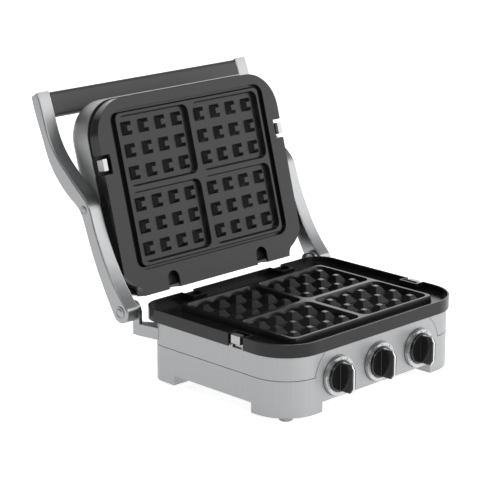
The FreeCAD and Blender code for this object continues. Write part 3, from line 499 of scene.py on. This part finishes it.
def dial_tree():
    """Marks set in a ring: one small block for each step round the dial."""
    tree = bpy.data.node_groups.get("dial marks")
    if tree is not None:
        return tree
    tree = bpy.data.node_groups.new("dial marks", "GeometryNodeTree")
    group_input(tree, "Count", "NodeSocketInt", 36)
    group_input(tree, "Radius", "NodeSocketFloat", 0.02)
    group_input(tree, "Mark size", "NodeSocketVector", (0.001, 0.0004, 0.0001))
    group_input(tree, "Centre", "NodeSocketVector", (0, 0, 0))
    group_input(tree, "Finish", "NodeSocketMaterial")
    tree.interface.new_socket("Geometry", in_out="OUTPUT", socket_type="NodeSocketGeometry")
    n = tree_nodes(tree, {
        "in": "NodeGroupInput", "ring": "GeometryNodeMeshCircle", "points": "GeometryNodeMeshToPoints",
        "mark": "GeometryNodeMeshCube", "index": "GeometryNodeInputIndex", "step": "ShaderNodeMath",
        "angle": "ShaderNodeMath", "turn": "ShaderNodeCombineXYZ",
        "place": "GeometryNodeInstanceOnPoints", "stand": "GeometryNodeTransform",
        "real": "GeometryNodeRealizeInstances",
        "paint": "GeometryNodeSetMaterial", "out": "NodeGroupOutput"})
    n["step"].operation = "DIVIDE"
    n["step"].inputs[0].default_value = math.tau
    n["angle"].operation = "MULTIPLY"
    n["stand"].inputs["Rotation"].default_value = (math.radians(90), 0, 0)
    link = tree.links.new
    link(n["in"].outputs["Count"], n["ring"].inputs["Vertices"])
    link(n["in"].outputs["Radius"], n["ring"].inputs["Radius"])
    link(n["ring"].outputs["Mesh"], n["points"].inputs["Mesh"])
    link(n["in"].outputs["Mark size"], n["mark"].inputs["Size"])
    link(n["in"].outputs["Count"], n["step"].inputs[1])
    link(n["index"].outputs[0], n["angle"].inputs[0])
    link(n["step"].outputs[0], n["angle"].inputs[1])
    link(n["angle"].outputs[0], n["turn"].inputs["Z"])
    link(n["points"].outputs[0], n["place"].inputs["Points"])
    link(n["mark"].outputs["Mesh"], n["place"].inputs["Instance"])
    link(n["turn"].outputs[0], n["place"].inputs["Rotation"])
    link(n["place"].outputs[0], n["stand"].inputs["Geometry"])
    link(n["in"].outputs["Centre"], n["stand"].inputs["Translation"])
    link(n["stand"].outputs[0], n["real"].inputs[0])
    link(n["real"].outputs[0], n["paint"].inputs["Geometry"])
    link(n["in"].outputs["Finish"], n["paint"].inputs["Material"])
    link(n["paint"].outputs[0], n["out"].inputs[0])
    return tree


def printed_number(text, height, weight, thickness, place, turn):
    """A number as a thin solid mesh standing in the XZ plane, its face towards the front."""
    curve = bpy.data.curves.new("number", "FONT")
    curve.body = text
    curve.size = height
    curve.extrude = thickness / 2
    curve.offset = weight
    curve.resolution_u = 3
    curve.align_x = "CENTER"
    curve.align_y = "CENTER"
    holder = bpy.data.objects.new("number", curve)
    bpy.context.scene.collection.objects.link(holder)
    bpy.context.view_layer.update()
    mesh = bpy.data.meshes.new_from_object(holder.evaluated_get(bpy.context.evaluated_depsgraph_get()))
    bpy.data.objects.remove(holder)
    upright = Matrix.Rotation(math.radians(90), 4, "X")
    mesh.transform(Matrix.Translation(place) @ Matrix.Rotation(turn, 4, "Y") @ upright)
    return mesh


def joined(name, meshes):
    """Several meshes as one."""
    work = bmesh.new()
    for mesh in meshes:
        work.from_mesh(mesh)
    made = bpy.data.meshes.new(name)
    work.to_mesh(made)
    work.free()
    return made


class FinishPieces:
    """What the operators below share."""

    bl_options = {"REGISTER", "UNDO"}

    def edges(self, context):
        """The sizes of rounded edges that the user has set."""
        return context.scene.waffle_edges


class WAFFLE_OT_housing(FinishPieces, bpy.types.Operator):
    """Round and paint the two halves of the base housing"""

    bl_idname = "waffle.housing"
    bl_label = "Housing"

    def execute(self, context):
        softened("lower_housing", "silver paint", self.edges(context).housing, segments=3)
        softened("upper_housing", "silver paint", self.edges(context).housing, segments=3)
        return {"FINISHED"}


class WAFFLE_OT_cover(FinishPieces, bpy.types.Operator):
    """Round and paint the lid's cover"""

    bl_idname = "waffle.cover"
    bl_label = "Lid cover"

    def execute(self, context):
        softened("cover_shell", "silver paint", self.edges(context).cover, segments=2)
        softened("lid_frame", "inner plastic", self.edges(context).small, segments=1)
        return {"FINISHED"}


class WAFFLE_OT_plates(FinishPieces, bpy.types.Operator):
    """Coat the two waffle plates and soften their edges"""

    bl_idname = "waffle.plates"
    bl_label = "Waffle plates"

    def execute(self, context):
        for node in ("lower_plate", "upper_plate"):
            softened(node, "non-stick coating", self.edges(context).plate, segments=2, angle=20.0)
        return {"FINISHED"}


class WAFFLE_OT_handle(FinishPieces, bpy.types.Operator):
    """Finish the arms, the grip between them and the caps on their pins"""

    bl_idname = "waffle.handle"
    bl_label = "Handle"

    def execute(self, context):
        for side in ("left", "right"):
            softened("arm_" + side, "arm aluminium", self.edges(context).arm, segments=2)
        softened("handle_grip", "matte grip plastic", self.edges(context).grip, segments=3)
        turned_caps("hinge_caps", context.scene.waffle_turned)
        turned_caps("elbow_caps", context.scene.waffle_turned)
        painted("grip_rod", "bright steel")
        painted("elbow_pins", "bright steel")
        return {"FINISHED"}


class WAFFLE_OT_hinge(FinishPieces, bpy.types.Operator):
    """Finish the hinge brackets, their pins and the release button"""

    bl_idname = "waffle.hinge"
    bl_label = "Hinge"

    def execute(self, context):
        for side in ("left", "right"):
            softened("hinge_bracket_" + side, "arm aluminium", self.edges(context).arm, segments=2)
            painted("hinge_pin_" + side, "bright steel")
        release_dome(context.scene.waffle_turned)
        return {"FINISHED"}


class WAFFLE_OT_knobs(FinishPieces, bpy.types.Operator):
    """Finish the knobs, their bright strips and spindles"""

    bl_idname = "waffle.knobs"
    bl_label = "Knobs"

    def execute(self, context):
        for place in ("left", "centre", "right"):
            softened("knob_" + place, "gloss knob plastic", self.edges(context).knob, segments=3)
            softened("inlay_" + place, "polished chrome", self.edges(context).small, segments=1)
            painted("spindle_" + place, "bright steel")
        return {"FINISHED"}


DIAL_NUMBERS = (("left", "123456789"), ("centre", "1234567"), ("right", "123456789"))


class WAFFLE_OT_dials(FinishPieces, bpy.types.Operator):
    """Turn the bezels behind the knobs and print their marks and numbers"""

    bl_idname = "waffle.dials"
    bl_label = "Dials"

    def execute(self, context):
        dial = context.scene.waffle_dial
        for place, numbers in DIAL_NUMBERS:
            low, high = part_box("bezel_" + place)
            middle = (low + high) / 2
            outer = (high.z - low.z) / 2
            inner = outer - dial.ring_width
            foot = high.y
            tall = high.y - low.y
            face_height = tall - dial.lip_rise
            out = Vector((0, -1, 0))
            profile = [(inner, 0.0), (inner, face_height), (outer - dial.lip, face_height),
                       (outer - 0.75 * dial.lip, 0.97 * tall), (outer - 0.35 * dial.lip, 0.97 * tall),
                       (outer, 0.90 * tall), (outer, 0.0), (inner, 0.0)]
            base = Vector((middle.x, foot, middle.z))
            ring = turned_mesh("bezel_" + place + "_turned", profile, base, out)
            piece(ring.name, ring, "bezel aluminium", "base",
                  ("bezel_" + place,))
            # A thin dark ring round the bezel, painted shade for the shadow in the gap at the bezel's
            # edge.
            rim = outer + dial.painted_shade_ring
            profile = [(outer, 0.0), (rim, 0.0), (rim, 0.5 * dial.painted_shade_ring), (outer, dial.painted_shade_ring),
                       (outer, 0.0)]
            painted_shade_ring = turned_mesh("gasket_" + place, profile, base, out)
            piece(painted_shade_ring.name, painted_shade_ring, "inner plastic", "base")
            face = foot - face_height
            tick_radius = inner + 0.6 * dial.tick_long
            marks = [grown("ticks", dial_tree(), {
                "Count": dial.ticks, "Radius": tick_radius,
                "Mark size": (dial.tick_long, dial.tick_wide, dial.print_deep),
                "Centre": (middle.x, face, middle.z), "Finish": finishes()["dial print"]})]
            digit_radius = outer - dial.lip - 0.55 * dial.digit
            for i, number in enumerate(numbers):
                turn = math.radians(dial.sweep) * (i / (len(numbers) - 1) - 0.5)
                spot = Vector((middle.x + digit_radius * math.sin(turn), face,
                               middle.z + digit_radius * math.cos(turn)))
                marks.append(printed_number(number, dial.digit, dial.digit_weight, dial.print_deep,
                                            spot, turn))
            print_mesh = joined("dial_print_" + place, marks)
            piece(print_mesh.name, print_mesh, "dial print", "base")
        return {"FINISHED"}


class WAFFLE_OT_buttons(FinishPieces, bpy.types.Operator):
    """Finish the four plate buttons, their springs and the hooks"""

    bl_idname = "waffle.buttons"
    bl_label = "Plate buttons and hooks"

    def execute(self, context):
        for level in ("lower", "upper"):
            for side in ("left", "right"):
                softened(f"{level}_button_{side}", "button steel", self.edges(context).small, segments=2)
                button_spring(level, side)
            softened(level + "_plate_hooks", "dark steel", self.edges(context).small, segments=2)
        return {"FINISHED"}


class WAFFLE_OT_underside(FinishPieces, bpy.types.Operator):
    """Finish the feet, the bottom cover, its screws, the gland and the drip tray"""

    bl_idname = "waffle.underside"
    bl_label = "Underside"

    def execute(self, context):
        small = self.edges(context).small
        softened("rubber_feet", "foot rubber", small, segments=2)
        softened("bottom_cover", "dark steel", small, segments=1)
        softened("bottom_screws", "bright steel", small, segments=2)
        softened("cord_gland", "inner plastic", small, segments=2)
        softened("drip_tray", "inner plastic", small, segments=2)
        return {"FINISHED"}


class WAFFLE_OT_heating(FinishPieces, bpy.types.Operator):
    """Finish the heating elements, reflectors and switches inside"""

    bl_idname = "waffle.heating"
    bl_label = "Heating parts"

    def execute(self, context):
        for level in ("lower", "upper"):
            painted(level + "_heating_element", "dark steel")
            painted(level + "_reflector", "reflector sheet")
        for node in ("thermostat_left", "selector_switch", "thermostat_right", "upper_thermostat"):
            painted(node, "inner plastic")
        return {"FINISHED"}


# ---- stage -------------------------------------------------------------------------
FLOOR_REACH = 12.0                  # half the floor's width
FLOOR_GLOW = 0.72                   # light that the floor gives off, so that it stays white
CAMERA_PLACE = (-1.5831, -1.4861, 0.7614)
CAMERA_DOWN = math.radians(15.4497)     # how far the camera looks down
CAMERA_TURN = math.radians(-44.7473)    # and how far it is turned about the upright
CAMERA_LENS = 146.76                # mm, on a sensor of the width below
SENSOR_WIDTH = 36.0
RIGHT_FRONT = (0.68, -0.73, 0)      # direction and brightness of the studio's right front wall
RIGHT_FRONT_GLOW = 2.1
RIGHT_REAR = (0.72, 0.69, 0)        # the same of its right rear wall
RIGHT_REAR_GLOW = 1.4
ROOF_STARTS = 0.46                  # height at which the walls begin to fade, as a sine
ROOF_DARK = 0.62                    # and at which they end
DIM_GLOW = 0.22                     # brightness of the roof and the left wall
MIDDLE = (0, 0.05, 0.12)            # what the lights point at


def floor(shade):
    finish = Finish("studio floor", Roughness=0.8, Specular_IOR_Level=0.1, Emission_Strength=FLOOR_GLOW,
                    Emission_Color=(1.0, 1.0, 1.0, 1.0))
    finish.set(Base_Color=finish.tint(finish.noise(3.0), scaled(shade, 0.99), shade))
    mesh = bpy.data.meshes.new("floor")
    corners = [(x * FLOOR_REACH, y * FLOOR_REACH, 0) for x, y in ((-1, -1), (1, -1), (1, 1), (-1, 1))]
    mesh.from_pydata(corners, [], [(0, 1, 2, 3)])
    mesh.materials.append(finish.material)
    made = bpy.data.objects.new("floor", mesh)
    bpy.context.scene.collection.objects.link(made)


def softbox(name, place, size, power):
    """A square light that points at the object's middle."""
    light = bpy.data.lights.new(name, "AREA")
    light.size = size
    light.energy = power
    made = bpy.data.objects.new(name, light)
    made.location = place
    made.rotation_euler = (Vector(MIDDLE) - Vector(place)).to_track_quat("-Z", "Y").to_euler()
    bpy.context.scene.collection.objects.link(made)


def sky():
    """A studio with bright walls low down on the right, and a dim roof and left wall."""
    world = bpy.data.worlds.new("studio")
    world.use_nodes = True
    tree = world.node_tree
    tree.nodes.clear()
    direction = tree.nodes.new("ShaderNodeTexCoord").outputs["Generated"]

    def fade(towards, start, end, low, high):
        """A level that runs from low to high as the direction turns towards the one given."""
        dot = tree.nodes.new("ShaderNodeVectorMath")
        dot.operation = "DOT_PRODUCT"
        tree.links.new(direction, dot.inputs[0])
        dot.inputs[1].default_value = towards
        made = tree.nodes.new("ShaderNodeMapRange")
        made.interpolation_type = "SMOOTHSTEP"
        tree.links.new(dot.outputs["Value"], made.inputs["Value"])
        for name, value in (("From Min", start), ("From Max", end), ("To Min", low), ("To Max", high)):
            made.inputs[name].default_value = value
        return made.outputs[0]

    def combine(operation, left, right):
        made = tree.nodes.new("ShaderNodeMath")
        made.operation = operation
        tree.links.new(left, made.inputs[0])
        if isinstance(right, float):
            made.inputs[1].default_value = right
        else:
            tree.links.new(right, made.inputs[1])
        return made.outputs[0]

    low_down = fade((0, 0, 1), ROOF_STARTS, ROOF_DARK, low=1.0, high=0.0)
    right_front = fade(RIGHT_FRONT, start=0.45, end=0.80, low=0.0, high=RIGHT_FRONT_GLOW)
    right_rear = fade(RIGHT_REAR, start=0.35, end=0.75, low=0.0, high=RIGHT_REAR_GLOW)
    walls = combine("MULTIPLY", combine("ADD", right_front, right_rear), low_down)
    glow = tree.nodes.new("ShaderNodeBackground")
    glow.inputs["Color"].default_value = (1.0, 1.0, 1.0, 1)
    tree.links.new(combine("ADD", walls, DIM_GLOW), glow.inputs["Strength"])
    out = tree.nodes.new("ShaderNodeOutputWorld")
    tree.links.new(glow.outputs[0], out.inputs["Surface"])
    bpy.context.scene.world = world


def camera():
    data = bpy.data.cameras.new("camera")
    data.lens = CAMERA_LENS
    data.sensor_width = SENSOR_WIDTH
    made = bpy.data.objects.new("camera", data)
    made.location = CAMERA_PLACE
    made.rotation_euler = (math.radians(90) - CAMERA_DOWN, 0, CAMERA_TURN)
    bpy.context.scene.collection.objects.link(made)
    bpy.context.scene.camera = made


class WAFFLE_OT_stage(bpy.types.Operator):
    """Lay the floor and set the lights and the camera"""

    bl_idname = "waffle.stage"
    bl_label = "Studio"

    def execute(self, context):
        floor(context.scene.waffle_colours.floor)
        sky()
        softbox("key", (-1.3, -1.6, 1.9), size=0.7, power=14)
        softbox("top", (0.1, 0.2, 2.4), size=0.8, power=10)
        camera()
        context.scene.view_settings.view_transform = "Standard"
        return {"FINISHED"}


class WAFFLE_PT_finish(bpy.types.Panel):
    """Buttons for every piece, in the order in which they are made"""

    bl_label = "Waffle maker"
    bl_idname = "WAFFLE_PT_finish"
    bl_space_type = "VIEW_3D"
    bl_region_type = "UI"
    bl_category = "Waffle maker"

    def draw(self, context):
        for operator in PIECES:
            self.layout.operator(operator.bl_idname)
        for group in (context.scene.waffle_colours, context.scene.waffle_edges,
                      context.scene.waffle_turned, context.scene.waffle_dial):
            column = self.layout.column()
            for name in group.__annotations__:
                column.prop(group, name)


PIECES = (WAFFLE_OT_housing, WAFFLE_OT_cover, WAFFLE_OT_plates, WAFFLE_OT_handle, WAFFLE_OT_hinge,
          WAFFLE_OT_knobs, WAFFLE_OT_dials, WAFFLE_OT_buttons, WAFFLE_OT_underside, WAFFLE_OT_heating,
          WAFFLE_OT_stage)
GROUPS = (FinishColours, EdgeSizes, TurnedSizes, DialSizes)


def register():
    for item in (*GROUPS, *PIECES, WAFFLE_PT_finish):
        bpy.utils.register_class(item)
    bpy.types.Scene.waffle_colours = bpy.props.PointerProperty(type=FinishColours)
    bpy.types.Scene.waffle_edges = bpy.props.PointerProperty(type=EdgeSizes)
    bpy.types.Scene.waffle_turned = bpy.props.PointerProperty(type=TurnedSizes)
    bpy.types.Scene.waffle_dial = bpy.props.PointerProperty(type=DialSizes)


def unregister():
    del bpy.types.Scene.waffle_dial
    del bpy.types.Scene.waffle_turned
    del bpy.types.Scene.waffle_edges
    del bpy.types.Scene.waffle_colours
    for item in reversed((*GROUPS, *PIECES, WAFFLE_PT_finish)):
        bpy.utils.unregister_class(item)


def main():
    register()
    bpy.ops.waffle.housing()
    bpy.ops.waffle.cover()
    bpy.ops.waffle.plates()
    bpy.ops.waffle.handle()
    bpy.ops.waffle.hinge()
    bpy.ops.waffle.knobs()
    bpy.ops.waffle.dials()
    bpy.ops.waffle.buttons()
    bpy.ops.waffle.underside()
    bpy.ops.waffle.heating()
    bpy.ops.waffle.stage()


if __name__ == "__main__":
    main()
